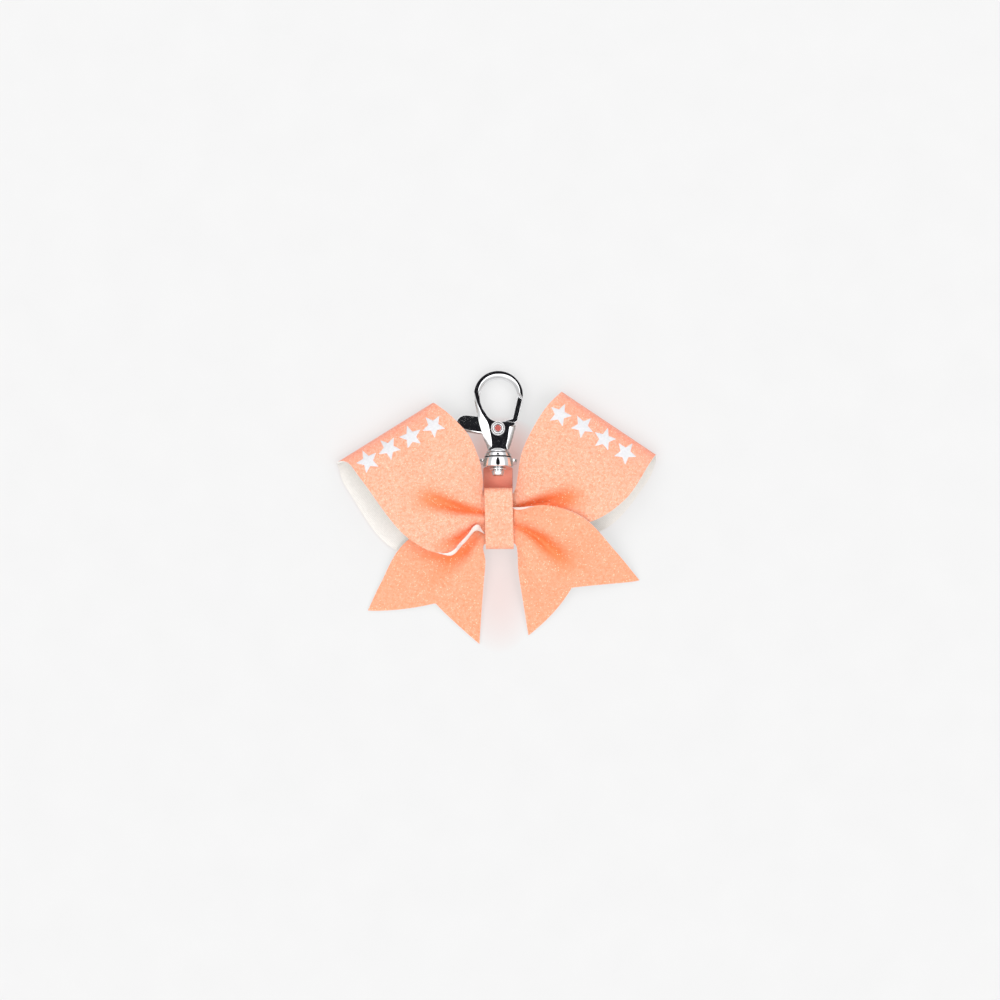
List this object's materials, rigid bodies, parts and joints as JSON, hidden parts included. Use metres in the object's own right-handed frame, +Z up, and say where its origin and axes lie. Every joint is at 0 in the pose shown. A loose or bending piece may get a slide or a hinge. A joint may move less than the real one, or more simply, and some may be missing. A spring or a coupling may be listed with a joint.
{
  "type": "cheer bow bag charm",
  "caption": "Small cheer bow of folded glitter ribbon with V-cut tails, star motifs, a wrapped centre band, and a ribbon tab holding a swivel lobster clasp.",
  "frame": {"origin": "on the surface that the bow lies on, under the middle of the centre band, on the strap's back", "axes": "+X to the right, +Y towards the clasp's nose, +Z up, away from the bow's back"},
  "size_m": [0.1075, 0.0917, 0.0135],
  "materials": {
    "glitter_ribbon": "coral glitter face, white woven back",
    "glitter_band": "coral glitter, narrow ribbon",
    "thread": "twisted thread",
    "hot_glue": "translucent hot-melt glue",
    "plain_ribbon": "matte salmon grosgrain",
    "white_vinyl": "satin heat-pressed vinyl",
    "clasp_chrome": "bright nickel plate",
    "spring_steel": "drawn spring wire"
  },
  "bodies": {
    "bow": {"bow_ribbon": "glitter_ribbon", "centre_band": "glitter_band", "gather_thread": "thread", "glue_pad": "hot_glue", "hanger_strap": "plain_ribbon", "star_left_1": "white_vinyl", "star_left_2": "white_vinyl", "star_left_3": "white_vinyl", "star_left_4": "white_vinyl", "star_right_1": "white_vinyl", "star_right_2": "white_vinyl", "star_right_3": "white_vinyl", "star_right_4": "white_vinyl"},
    "eye": {"swivel_eye": "clasp_chrome"},
    "hook": {"hook_body": "clasp_chrome", "swivel_rivet": "clasp_chrome", "eye_washer": "clasp_chrome", "pivot_pin": "clasp_chrome", "lever_spring": "spring_steel"},
    "lever": {"trigger_lever": "clasp_chrome"}
  },
  "joints": [
    {"name": "eye_swing", "type": "hinge", "parent": "bow", "child": "eye", "pos_m": [-0.00035, 0.0181, 0.00155], "axis": [1, 0, 0], "range_deg": [-90, 8]},
    {"name": "hook_swivel", "type": "hinge", "parent": "eye", "child": "hook", "pos_m": [-0.00035, 0.01884, 0.00655], "axis": [0, 0.9893, -0.1461], "continuous": true},
    {"name": "lever_pivot", "type": "hinge", "parent": "hook", "child": "lever", "pos_m": [-0.00035, 0.02932, 0.005], "axis": [0, 0.1461, 0.9893], "range_deg": [0, 25], "stiffness_Nm_per_rad": 0.004}
  ]
}
